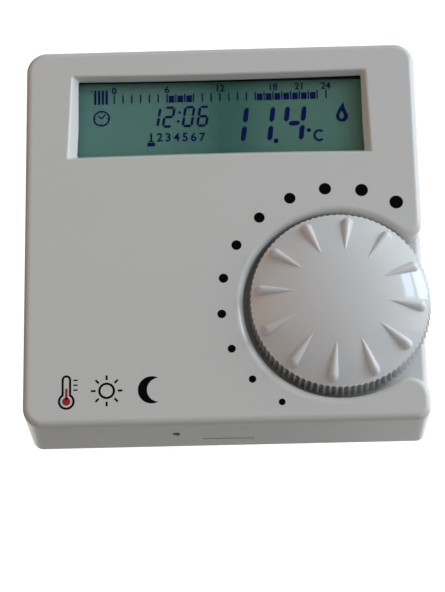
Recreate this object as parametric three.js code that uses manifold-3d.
// Programmable room thermostat with a week programme, for wall mounting.
// Millimetres. +Z up, +X right seen from the room, +Y into the wall.
// Origin: centre of the wall face. The unit faces -Y.
import * as THREE from 'three';
import { mergeVertices } from 'three/addons/utils/BufferGeometryUtils.js';
import Module from 'manifold-3d';

const wasm = await Module();
wasm.setup();

// ---- driving dimensions ----
const W = 85.0;            // width of the housing, half way down its walls
const H = 84.1;            // height of the housing
const D = 23.7;            // wall to front face
const DRAFT = {            // at the rear edge and at the front face
  x: [42.9, 42.45],        // half width
  z: [42.15, 42.05],       // half height
  corner: [2.4, 4.4],      // plan radius of three corners
  lowRight: [2.0, 2.9],    // and of the one under the dial
};
const CAVITY_R = 4.5;      // plan radius inside
const EDGE_R = 1.2;        // rounding of the front edge
const WALL = 2.0;          // housing wall
const SKIRT_Y = -0.3;      // rear edge of the housing, just clear of the wall
const DIAL_X = 24.4;       // dial axis
const DIAL_Z = -16.36;
const DIAL_R = 19.0;       // outer radius of the dial rim
const RECESS_X = 24.1;     // centre of the recess, a touch off the dial axis
const RECESS_Z = -17.05;
const RECESS_R = 20.4;     // radius of the recess wall
const RECESS_DEPTH = 6.0;  // recess floor below the front face
const RECESS_FLOOR = 1.7;  // thickness of the recess floor
const HORN_TOP_R = 3.2;    // plan radii where the recess breaks out of the right side
const HORN_LOW_R = 4.3;
const DIAL_RIM_Y = -24.2;  // front of the knurled skirt
const DIAL_BACK_Y = -18.4; // rear edge of the knurled skirt
const DIAL_APEX_Y = -29.0; // top of the dome
const RIBS = 12;           // raised ribs on the dome
const BEZEL = { x0: -33.0, x1: 32.3, z0: 16.85, z1: 36.13 };   // bezel at the front face
const GLASS = { x0: -31.1, x1: 30.85, z0: 18.0, z1: 35.43 };   // clear opening at its bottom
const BOARD_FRONT = -9.6;  // main board faces
const BOARD_BACK = -8.0;
const PLATE_T = 2.4;       // wall plate thickness
const SCREW_PITCH = 60.3;  // wall box screw spacing
const CELL_R = 5.25;       // AAA cell
const CELL_L = 44.5;
const CELL_Y = -9.25;
const CELL_X = [-33.4, -22.2];
const PIN_HOLE = { x: -10.9, y: -13.5, r: 0.6 };
const BOSSES = [[-11.0, 8.0], [37.4, 9.3], [37.2, -37.0], [-3.6, -26.6]];
const CAVITY_X = W / 2 - WALL;
const CAVITY_Z = H / 2 - WALL;

// ---- helpers ----
function solid(geometry) {
  const g = geometry.clone();
  for (const name of Object.keys(g.attributes)) if (name !== 'position') g.deleteAttribute(name);
  const m = mergeVertices(g, 1e-5);
  const index = m.index ? m.index.array : Uint32Array.from({ length: m.attributes.position.count }, (_, i) => i);
  const tri = [];
  for (let i = 0; i < index.length; i += 3) {
    const a = index[i], b = index[i + 1], c = index[i + 2];
    if (a !== b && b !== c && a !== c) tri.push(a, b, c);
  }
  return new wasm.Manifold(new wasm.Mesh({
    numProp: 3,
    vertProperties: Float32Array.from(m.attributes.position.array),
    triVerts: Uint32Array.from(tri),
  }));
}
function geometryOf(body) {
  const mesh = body.getMesh();
  const g = new THREE.BufferGeometry();
  const n = mesh.numProp;
  const count = mesh.vertProperties.length / n;
  const pos = new Float32Array(count * 3);
  for (let i = 0; i < count; i++) for (let k = 0; k < 3; k++) pos[3 * i + k] = mesh.vertProperties[n * i + k];
  g.setAttribute('position', new THREE.BufferAttribute(pos, 3));
  g.setIndex(new THREE.BufferAttribute(Uint32Array.from(mesh.triVerts), 1));
  g.computeVertexNormals();
  return g;
}
const join = (first, ...rest) => rest.reduce((a, b) => a.add(b), first);
const cut = (first, ...rest) => rest.reduce((a, b) => a.subtract(b), first);

function box(x0, x1, y0, y1, z0, z1) {
  const g = new THREE.BoxGeometry(Math.abs(x1 - x0), Math.abs(y1 - y0), Math.abs(z1 - z0));
  g.translate((x0 + x1) / 2, (y0 + y1) / 2, (z0 + z1) / 2);
  return solid(g);
}
function cylinderY(x, z, r, y0, y1, seg = 24) {
  const g = new THREE.CylinderGeometry(r, r, Math.abs(y1 - y0), seg);
  g.translate(x, (y0 + y1) / 2, z);
  return solid(g);
}
function cylinderZ(x, y, r, z0, z1, seg = 20) {
  const g = new THREE.CylinderGeometry(r, r, Math.abs(z1 - z0), seg);
  g.rotateX(Math.PI / 2);
  g.translate(x, y, (z0 + z1) / 2);
  return solid(g);
}
function arc(cx, cz, r, a0, a1, n) {
  const out = [];
  for (let i = 0; i <= n; i++) {
    const a = a0 + (a1 - a0) * i / n;
    out.push(new THREE.Vector2(cx + r * Math.cos(a), cz + r * Math.sin(a)));
  }
  return out;
}
const P = Math.PI;
function roundedRect(x0, x1, z0, z1, r, n = 5) {
  return [
    ...arc(x1 - r, z0 + r, r, -P / 2, 0, n),
    ...arc(x1 - r, z1 - r, r, 0, P / 2, n),
    ...arc(x0 + r, z1 - r, r, P / 2, P, n),
    ...arc(x0 + r, z0 + r, r, P, 1.5 * P, n),
  ];
}
// A plan outline (x, z) pushed from yBack towards the front to yFront.
function plate(points, yBack, yFront) {
  const g = new THREE.ExtrudeGeometry(new THREE.Shape(points), {
    depth: yBack - yFront, bevelEnabled: false, curveSegments: 1,
  });
  g.rotateX(P / 2);
  g.translate(0, yBack, 0);
  return solid(g);
}
// The same with a rounded front edge of radius r.
function roundedPlate(points, yBack, yFront, r, segments = 3) {
  const extra = r + 1;
  const g = new THREE.ExtrudeGeometry(new THREE.Shape(points), {
    depth: yBack - yFront - r + extra, bevelEnabled: true, bevelThickness: r, bevelSize: r,
    bevelOffset: -r, bevelSegments: segments, curveSegments: 1,
  });
  g.rotateX(P / 2);
  g.translate(0, yBack + extra, 0);
  return cut(solid(g), box(-100, 100, yBack, yBack + 50, -100, 100));
}
// Turned piece: profile points are (radius, height along Y).
function turned(profile, x, z, seg = 32) {
  const g = new THREE.LatheGeometry(profile.map(([r, h]) => new THREE.Vector2(r, h)), seg);
  g.translate(x, 0, z);
  return solid(g);
}

const root = new THREE.Group();
root.name = 'programmable_timer';
const frontModule = new THREE.Group();
const wallSide = new THREE.Group();
root.add(wallSide, frontModule);

function add(group, name, body, color, roughness = 0.5, metalness = 0) {
  const mesh = new THREE.Mesh(geometryOf(body), new THREE.MeshStandardMaterial({ color, roughness, metalness }));
  mesh.name = name;
  group.add(mesh);
  return mesh;
}
const WHITE = 0xe6e6e3, INNER = 0xd9d9d5, DARK = 0x26282a, STEEL = 0xb9bcc0, BRASS = 0xc9a45c;

// ---- front cover ----
// Plan outline of the housing at depth y: the walls draw in towards the front and the corners
// open from a tight radius at the rear edge to a softer one at the face.
const mixed = ([rear, front], y) => rear + (front - rear) * Math.min(1, Math.max(0, (SKIRT_Y - y) / (D + SKIRT_Y)));
function planAt(y) {
  const at = (pair) => mixed(pair, y);
  return {
    x: at(DRAFT.x), z: at(DRAFT.z), radius: at(DRAFT.corner), lowRight: at(DRAFT.lowRight),
  };
}
function housingAt(y) {
  const p = planAt(y);
  return [
    ...arc(p.x - p.lowRight, -p.z + p.lowRight, p.lowRight, -P / 2, 0, 6),
    ...arc(p.x - p.radius, p.z - p.radius, p.radius, 0, P / 2, 6),
    ...arc(-p.x + p.radius, p.z - p.radius, p.radius, P / 2, P, 6),
    ...arc(-p.x + p.radius, -p.z + p.radius, p.radius, P, 1.5 * P, 6),
  ];
}
// The same with the recess taken out of the right side: a horn above it and one below,
// each tangent to the side and to the recess wall.
function hornAt(y, r, sign) {
  const x = planAt(y).x - r;
  const z = RECESS_Z + sign * Math.sqrt((RECESS_R + r) ** 2 - (x - RECESS_X) ** 2);
  return { x, z, angle: Math.atan2(z - RECESS_Z, x - RECESS_X) };
}
function faceAt(y) {
  const p = planAt(y);
  const low = hornAt(y, HORN_LOW_R, -1), top = hornAt(y, HORN_TOP_R, 1);
  return [
    ...arc(p.x - p.lowRight, -p.z + p.lowRight, p.lowRight, -P / 2, 0, 6),
    ...arc(low.x, low.z, HORN_LOW_R, 0, P + low.angle, 9).slice(0, -1),
    ...arc(RECESS_X, RECESS_Z, RECESS_R, 2 * P + low.angle, top.angle, 44),
    ...arc(top.x, top.z, HORN_TOP_R, P + top.angle, 2 * P, 7).slice(1),
    ...arc(p.x - p.radius, p.z - p.radius, p.radius, 0, P / 2, 6),
    ...arc(-p.x + p.radius, p.z - p.radius, p.radius, P / 2, P, 6),
    ...arc(-p.x + p.radius, -p.z + p.radius, p.radius, P, 1.5 * P, 6),
  ];
}
// Solid between two matching outlines, its front edge rounded by EDGE_R.
// With a tuck it starts that far inside its own outline, so that it sits in the body behind it.
function draftedPlate(outline, yBack, yFront, tuck = 0) {
  const back = outline(yBack), shoulder = outline(yFront + EDGE_R);
  const n = back.length;
  const normals = shoulder.map((p, i) => {
    const a = shoulder[(i + n - 1) % n], b = shoulder[(i + 1) % n];
    const t = new THREE.Vector2().subVectors(b, a).normalize();
    return new THREE.Vector2(t.y, -t.x);
  });
  const rings = [back.map((p) => [p.x, yBack, p.y])];
  if (tuck > 0) rings.unshift(back.map((p, i) => [p.x - normals[i].x * tuck, yBack + 1.5, p.y - normals[i].y * tuck]));
  const steps = 3;
  for (let k = 0; k <= steps; k++) {
    const a = P / 2 * k / steps;
    const d = EDGE_R * (1 - Math.cos(a)), y = yFront + EDGE_R * (1 - Math.sin(a));
    rings.push(shoulder.map((p, i) => [p.x - normals[i].x * d, y, p.y - normals[i].y * d]));
  }
  const pos = rings.flat(2), index = [];
  for (let k = 0; k < rings.length - 1; k++) {
    for (let i = 0; i < n; i++) {
      const a = k * n + i, b = k * n + (i + 1) % n;
      index.push(a, b, a + n, b, b + n, a + n);
    }
  }
  const cap = (ring, base, flip) => {
    for (const [a, b, c] of THREE.ShapeUtils.triangulateShape(ring, [])) index.push(base + a, base + (flip ? c : b), base + (flip ? b : c));
  };
  cap(rings[0].map(([x, , z]) => new THREE.Vector2(x, z)), 0, true);
  cap(rings[rings.length - 1].map(([x, , z]) => new THREE.Vector2(x, z)), (rings.length - 1) * n, false);
  const g = new THREE.BufferGeometry();
  g.setAttribute('position', new THREE.BufferAttribute(Float32Array.from(pos), 3));
  g.setIndex(index);
  const body = solid(g);
  if (body.volume() > 0) return body;
  for (let i = 0; i < index.length; i += 3) [index[i + 1], index[i + 2]] = [index[i + 2], index[i + 1]];
  g.setIndex(index);
  return solid(g);
}
const recessY = -(D - RECESS_DEPTH);
const cavity = cut(
  plate(roundedRect(-CAVITY_X, CAVITY_X, -CAVITY_Z, CAVITY_Z, CAVITY_R, 4), 5, -(D - WALL)),
  cylinderY(RECESS_X, RECESS_Z, RECESS_R + 1.8, recessY + RECESS_FLOOR, -40, 48),
  box(DIAL_X + 10.5, W, recessY + RECESS_FLOOR, -40, hornAt(-D, HORN_LOW_R, -1).z - 0.5, hornAt(-D, HORN_TOP_R, 1).z + 0.5),   // solid horns
);
const bezelShape = new THREE.BoxGeometry(1, 1, 1);
{
  // corners of the cut: wide at the front face, narrow where the window shows
  const p = bezelShape.attributes.position;
  const slope = (a, b, t) => a + (b - a) * t;
  for (let i = 0; i < p.count; i++) {
    const frontSide = p.getY(i) < 0;
    const t = frontSide ? -0.5 : 1.5;   // carried past both faces along the same slope
    const x = p.getX(i) < 0 ? slope(BEZEL.x0, GLASS.x0, t) : slope(BEZEL.x1, GLASS.x1, t);
    const z = p.getZ(i) < 0 ? slope(BEZEL.z0, GLASS.z0, t) : slope(BEZEL.z1, GLASS.z1, t);
    p.setXYZ(i, x, slope(-D, -(D - WALL), t), z);
  }
}
let cover = join(
  draftedPlate(housingAt, SKIRT_Y, recessY),
  draftedPlate(faceAt, recessY + EDGE_R, -D, 0.5),
);
cover = cut(cover, cavity, solid(bezelShape));
for (const [x, z] of BOSSES) cover = join(cover, cylinderY(x, z, 2.3, BOARD_FRONT - 0.3, -(D - WALL / 2) + (z < 0 && x > 10 ? 6 : 0), 20));
for (const [x, z] of BOSSES) cover = cut(cover, cylinderY(x, z, 1.35, BOARD_FRONT + 0.5, -15.2, 16));
cover = cut(cover,
  cylinderY(DIAL_X, DIAL_Z, 4.7, 0, -40, 32),
  cylinderZ(PIN_HOLE.x, PIN_HOLE.y, PIN_HOLE.r, -H / 2 - 2, -CAVITY_Z + 1, 16),
  box(-5.2, 5.2, -8.4, -7.5, -H / 2 - 2, -CAVITY_Z + 1),
);
add(frontModule, 'front_cover', cover, WHITE, 0.32);

// ---- display ----
add(frontModule, 'display_window', box(-36, 36, -21.4, -20.4, 13.2, 39.2), 0x9aa39a, 0.08);
add(frontModule, 'lcd_front_polariser', box(-33, 33, -20.1, -19.8, 16.8, 36.6), 0x7f8a80, 0.3);
add(frontModule, 'lcd_panel', box(-34.2, 34.2, -19.5, -17.3, 14.6, 37.8), 0x6f7a70, 0.15);
add(frontModule, 'lcd_reflector', box(-33, 33, -17.0, -16.7, 17.2, 35.9), 0x8d938d, 0.4, 0.3);
add(frontModule, 'lcd_holder', cut(
  box(-36.2, 36.2, -20.1, -9.9, 13.0, 39.4),
  box(-34.6, 34.6, -30, 0, 14.2, 38.2),
), 0xf0f0ec, 0.6);
add(frontModule, 'zebra_strip_lower', box(-32, 32, -17.0, -9.9, 14.8, 16.6), 0x5a4c58, 0.8);
add(frontModule, 'zebra_strip_upper', box(-32, 32, -17.0, -9.9, 36.3, 37.9), 0x5a4c58, 0.8);

// ---- main board ----
const boardOutline = [
  [13.2, -39.3], [37.2, -39.3], [39.8, -36.7], [39.8, 36.8], [37.2, 39.4], [-37.2, 39.4],
  [-39.8, 36.8], [-39.8, 11.9],
  [-15.0, 11.9], [-15.0, -30.6], [13.2, -30.6],
].map(([x, z]) => new THREE.Vector2(x, z));
let board = plate(boardOutline, BOARD_BACK, BOARD_FRONT);
for (const [x, z] of BOSSES) board = cut(board, cylinderY(x, z, 1.5, 0, -20, 16));
add(frontModule, 'main_board', board, 0x2d5a3a, 0.45);
for (let i = 0; i < 4; i++) {
  const [x, z] = BOSSES[i];
  add(frontModule, `board_screw_${i + 1}`, cut(
    turned([[0, -14.6], [0.5, -14.6], [1.0, -13.9], [1.0, -7.7], [2.2, -7.7], [2.3, -7.2], [1.7, -6.4], [0, -6.4]], x, z, 16),
    box(x - 1.3, x + 1.3, -7.1, -6, z - 0.28, z + 0.28),
    box(x - 0.28, x + 0.28, -7.1, -6, z - 1.3, z + 1.3),
  ), STEEL, 0.3, 0.9);
}
add(frontModule, 'microcontroller', box(-5, 5, -11.5, -9.9, 21, 31), DARK, 0.5);
add(frontModule, 'memory_chip', box(-19.5, -14, -11.4, -9.9, 24, 28), DARK, 0.5);
add(frontModule, 'crystal', box(12, 19.5, -12.9, -9.9, 24.4, 27.6), STEEL, 0.25, 0.9);
const can = [[0, -18.6], [2.1, -18.6], [2.5, -18.2], [2.5, -11.4], [2.3, -11.1], [2.5, -10.8], [2.5, -10.0], [0, -10.0]];
add(frontModule, 'capacitor_1', turned(can, -1.2, 7.8, 24), 0x20304a, 0.4);
add(frontModule, 'capacitor_2', turned(can, 5.6, 9.2, 24), 0x20304a, 0.4);
add(frontModule, 'relay', roundedPlate(roundedRect(-13.6, -3.6, -21.6, -2.6, 0.6, 2), -9.9, -20.6, 0.5, 2), 0x2a2c30, 0.4);
add(frontModule, 'thermistor', join(
  turned([[0, -13.4], [0.9, -13.1], [1.3, -12.3], [1.1, -11.5], [0.5, -11.1], [0, -11.1]], 30.6, -36.4, 14),
  box(29.9, 30.2, -12.0, -9.9, -36.55, -36.25),
  box(31.0, 31.3, -12.0, -9.9, -36.55, -36.25),
), 0x7a3b22, 0.4);
// socket that takes the three blades of the wall side
const BLADES = [18, 24, 30];
let socket = box(14.6, 33.4, -7.7, -4.5, -36.4, -32.6);
for (const x of BLADES) socket = cut(socket, box(x - 1.4, x + 1.4, -9, -3, -35.2, -33.8));
add(frontModule, 'header_socket', socket, DARK, 0.6);

// ---- encoder ----
const enc = [DIAL_X, DIAL_Z];
add(frontModule, 'encoder_body', cut(
  box(DIAL_X - 6, DIAL_X + 6, -15.6, -9.9, DIAL_Z - 6, DIAL_Z + 6),
  cylinderY(...enc, 5.0, -9, -14.2, 32),
  cylinderY(...enc, 3.4, -9, -20, 32),
), 0x4d5357, 0.5);
add(frontModule, 'encoder_bushing', turned(
  [[3.35, -20.4], [4.0, -20.4], [4.3, -20.1], [4.3, -15.9], [3.35, -15.9], [3.35, -20.4]], ...enc, 32), STEEL, 0.3, 0.9);
const rotorGroup = new THREE.Group();
frontModule.add(rotorGroup);
add(rotorGroup, 'encoder_rotor', cut(
  turned([[0, -12.6], [2.7, -12.6], [2.7, -12.0], [4.6, -12.0], [4.6, -10.4], [0, -10.4]], ...enc, 32),
  cylinderY(...enc, 1.9, -9, -14, 24),
), 0x2f3133, 0.5);
add(rotorGroup, 'encoder_shaft', cut(
  turned([[0, -26.0], [2.6, -26.0], [3.0, -25.6], [3.0, -13.3], [1.55, -13.3], [1.55, -11.2], [0, -11.2]], ...enc, 32),
  box(DIAL_X - 4, DIAL_X + 4, -27, -21.0, DIAL_Z + 1.6, DIAL_Z + 4),
), STEEL, 0.3, 0.9);

// ---- dial ----
const domeSphere = (rim, sag) => (rim * rim + sag * sag) / (2 * sag);
function domeProfile(rimR, rimY, apexY, n) {
  const sag = rimY - apexY;
  const R = domeSphere(rimR, sag);
  const cy = apexY + R;
  const out = [];
  for (let i = 0; i <= n; i++) {
    const r = rimR * i / n;
    out.push([r, cy - Math.sqrt(R * R - r * r)]);
  }
  return out;
}
const outer = domeProfile(DIAL_R - 0.5, DIAL_RIM_Y - 0.35, DIAL_APEX_Y, 7);
const inner = domeProfile(DIAL_R - 1.9, DIAL_RIM_Y + 0.6, DIAL_APEX_Y + 1.8, 4).reverse();
const dialShell = turned([
  ...outer, [DIAL_R, DIAL_RIM_Y + 0.25], [DIAL_R, DIAL_BACK_Y - 0.4], [DIAL_R - 0.5, DIAL_BACK_Y],
  [DIAL_R - 1.6, DIAL_BACK_Y], ...inner.map(([r, h]) => [r, h]),
], ...enc, 72);
const hub = cut(
  cylinderY(...enc, 5.2, -21.1, DIAL_APEX_Y + 1.2, 32),
  cut(cylinderY(...enc, 3.35, -20, -26.6, 32), box(DIAL_X - 4, DIAL_X + 4, -27, -21.6, DIAL_Z + 1.95, DIAL_Z + 4)),
);
const domeR = domeSphere(DIAL_R - 0.5, DIAL_RIM_Y - 0.35 - DIAL_APEX_Y);
const domeY = r => DIAL_APEX_Y + domeR - Math.sqrt(domeR * domeR - r * r);
let dial = join(dialShell, hub);
for (let i = 0; i < RIBS; i++) {
  // raised rib: round outer end near the rim, pointed towards the centre
  const tip = 9.8, end = 17.6, half = 1.15, top = 0.55;
  const outline = [
    new THREE.Vector2(tip, 0.04), new THREE.Vector2(tip, -0.04),
    ...arc(end - half, 0, half, -1.45, 1.45, 6),
  ];
  const g = new THREE.ExtrudeGeometry(new THREE.Shape(outline), { depth: 3, bevelEnabled: false, curveSegments: 1 });
  g.rotateX(P / 2);                       // top face now at y = -3
  const p = g.attributes.position;
  for (let k = 0; k < p.count; k++) {
    const r = p.getX(k);
    const lift = top * Math.min(1, (r - tip) / 4);
    const surface = domeY(Math.hypot(r, p.getZ(k)));
    p.setY(k, p.getY(k) < -1.5 ? surface - 0.03 - lift : surface + 0.9);
  }
  const a = P / 2 - (7.2 + 30 * i) * P / 180;   // clockwise from the top
  g.rotateY(-a);
  g.translate(DIAL_X, 0, DIAL_Z);
  dial = join(dial, solid(g));
}
const dialGroup = new THREE.Group();
rotorGroup.add(dialGroup);
add(dialGroup, 'dial', dial, WHITE, 0.3);
add(dialGroup, 'dial_spring_clip', cut(
  cylinderY(...enc, 6.2, -22.0, -24.0, 32),
  cylinderY(...enc, 5.55, -21, -25, 32),
  box(DIAL_X - 1, DIAL_X + 1, -25, -21, DIAL_Z - 8, DIAL_Z),
), STEEL, 0.3, 0.9);

// ---- reset button behind the pin hole ----
add(frontModule, 'reset_switch_body', cut(
  box(-13.9, -7.9, -16.0, -9.9, -29.9, -26.0),
  cylinderZ(PIN_HOLE.x, PIN_HOLE.y, 1.5, -31, -27.4, 20),
), DARK, 0.5);
const resetGroup = new THREE.Group();
frontModule.add(resetGroup);
add(resetGroup, 'reset_button', cylinderZ(PIN_HOLE.x, PIN_HOLE.y, 1.1, -31.8, -28.4, 20), 0xd0d0cc, 0.5);

// ---- batteries ----
const trayOuter = plate(roundedRect(-40.1, 40.1, -39.65, 39.65, 4.1, 4), -5.2, -15.8);
const trayInner = plate(roundedRect(-39.0, 39.0, -38.6, 38.6, 3.1, 4), 0, -14.8);
add(frontModule, 'battery_tray', cut(
  trayOuter.intersect(box(-45, -15.6, -30, 0, -45, 11.4)),
  trayInner.intersect(box(-45, -16.6, -30, 0, -45, 10.4)),
), INNER, 0.5);
function cell(x, z0, up) {
  const d = up ? 1 : -1;
  const h = v => (up ? z0 + v : z0 + CELL_L - v);
  const prof = [[0, 0], [4.4, 0], [4.9, 0.3], [CELL_R, 0.8], [CELL_R, 42.9], [4.8, 43.5], [1.9, 43.6], [1.9, 44.3], [1.6, CELL_L], [0, CELL_L]];
  const pts = prof.map(([r, v]) => new THREE.Vector2(r, v));
  const g = new THREE.LatheGeometry(pts, 28);
  g.rotateX(P / 2);                       // along +Z
  if (d < 0) { g.rotateX(P); g.translate(0, 0, CELL_L); }
  g.translate(x, CELL_Y, h(0) - (up ? 0 : CELL_L));
  return solid(g);
}
add(frontModule, 'battery_1', cell(CELL_X[0], -35.3, true), 0x3a4a63, 0.35, 0.3);
add(frontModule, 'battery_2', cell(CELL_X[1], -37.6, false), 0x3a4a63, 0.35, 0.3);
class Coil extends THREE.Curve {
  constructor(x, z0, z1, r0, r1, turns) { super(); Object.assign(this, { x, z0, z1, r0, r1, turns }); }
  getPoint(t, target = new THREE.Vector3()) {
    const a = 2 * P * this.turns * t, r = this.r0 + (this.r1 - this.r0) * t;
    return target.set(this.x + r * Math.cos(a), CELL_Y + r * Math.sin(a), this.z0 + (this.z1 - this.z0) * t);
  }
}
function spring(x, z0, z1) {
  const wire = new THREE.Shape(arc(0, 0, 0.22, 0, 2 * P, 6).slice(0, -1));
  return solid(new THREE.ExtrudeGeometry(wire, { steps: 36, bevelEnabled: false, extrudePath: new Coil(x, z0, z1, 3.6, 2.0, 2.5) }));
}
add(frontModule, 'battery_spring_1', spring(CELL_X[0], -37.35, -35.85), STEEL, 0.3, 0.9);
add(frontModule, 'battery_spring_2', spring(CELL_X[1], 8.95, 7.45), STEEL, 0.3, 0.9);
add(frontModule, 'battery_contact_negative', box(CELL_X[0] - 3.4, CELL_X[0] + 4.6, -14.2, -5.6, -38.3, -37.9), STEEL, 0.3, 0.9);
add(frontModule, 'battery_contact_positive', box(CELL_X[1] - 4.6, CELL_X[1] + 4.6, -14.2, -5.6, -38.3, -37.9), STEEL, 0.3, 0.9);
add(frontModule, 'battery_link_plate', box(CELL_X[0] - 4.6, CELL_X[1] + 4.6, -14.2, -5.6, 9.6, 10.0), STEEL, 0.3, 0.9);

// ---- rear cover of the module ----
add(frontModule, 'rear_cover', cut(
  plate(roundedRect(-40.1, 40.1, -39.65, 39.65, 4.1, 4), -3.3, -4.9),
  box(-39.2, -16.4, -10, 0, -38.7, 10.5),
  box(-14.9, 13.1, -10, 0, -50, -1.5),
  box(13, 35.2, -10, 0, -50, -29.8),
  box(-27, -19, -10, 0, 37.4, 50),
  box(19, 27, -10, 0, 37.4, 50),
  ...Array.from({ length: 11 }, (_, k) => box(-16.6 + 3.2 * k, -15.0 + 3.2 * k, -10, 0, 19, 33)),   // vents
  ...Array.from({ length: 5 }, (_, k) => box(17.8 + 3.2 * k, 19.4 + 3.2 * k, -10, 0, -24, -8)),
), INNER, 0.5);

// ---- wall side ----
let wallPlate = plate(roundedRect(-40.1, 40.1, -39.65, 39.65, 4.1, 5), 0, -PLATE_T);
wallPlate = cut(wallPlate, box(-14, 14, -5, 2, -20, -3.5));           // cable entry
for (const s of [-1, 1]) {
  const x = s * SCREW_PITCH / 2;
  wallPlate = cut(wallPlate, plate(roundedRect(x - 2.3, x + 2.3, -5, 5, 2.29, 6), 2, -5));
  wallPlate = cut(wallPlate,
    plate(roundedRect(x - 4.4, x + 4.4, -7.1, 7.1, 4.39, 6), -1.7, -5),             // seat of the screw head
    box(s * 35.2 - 2, s * 35.2 + 2, -5, 2, -30, -20),                                // side opening
    box(s * 5.35 - 0.35, s * 5.35 + 0.35, -5, 2, -41, -33.5));                       // slit beside the latch
  wallPlate = join(wallPlate, box(s * 23 - 3, s * 23 + 3, -6.2, -1.5, 38.3, 39.3));   // locating tabs
}
// latch tongue with its nose at the release slot
wallPlate = join(wallPlate, box(-4.6, 4.6, -9.2, -1.5, -39.3, -38.3), box(-4.6, 4.6, -8.6, -7.2, -39.7, -38.3));
add(wallSide, 'wall_plate', wallPlate, WHITE, 0.5);
let block = join(box(-11.5, 11.5, -12.0, -2.7, -37.6, -31.0), box(11, 34.2, -4.0, -2.7, -37.6, -31.0));
for (const x of [-7, 0, 7]) {
  block = cut(block,
    cylinderY(x, -34.3, 2.3, -5.0, -14, 24),        // screw well
    box(x - 2.6, x + 2.6, -8.2, -3.9, -36.6, -30));  // clamp chamber and wire entry
}
for (const x of BLADES) block = cut(block, box(x - 1.4, x + 1.4, -6, 0, -35.2, -33.8));
add(wallSide, 'terminal_block', block, 0x3c4247, 0.5);
[-7, 0, 7].forEach((x, i) => {
  add(wallSide, `terminal_screw_${i + 1}`, cut(
    turned([[0, -11.6], [1.6, -11.6], [1.9, -11.3], [1.9, -9.6], [1.2, -9.6], [1.2, -6.2], [0, -6.2]], x, -34.3, 18),
    box(x - 2.5, x + 2.5, -12, -10.8, -34.6, -34.0),
  ), STEEL, 0.3, 0.9);
  add(wallSide, `terminal_clamp_${i + 1}`, cut(
    box(x - 2.2, x + 2.2, -7.9, -4.3, -36.2, -31.4),
    box(x - 1.5, x + 1.5, -6.0, -4.9, -40, -30),
    cylinderY(x, -34.3, 1.5, -5.5, -10, 18),
  ), BRASS, 0.35, 0.9);
});
BLADES.forEach((x, i) => {
  add(wallSide, `header_pin_${i + 1}`, box(x - 1.0, x + 1.0, -7.3, -2.7, -34.9, -34.1), BRASS, 0.3, 0.9);
});

export default root;
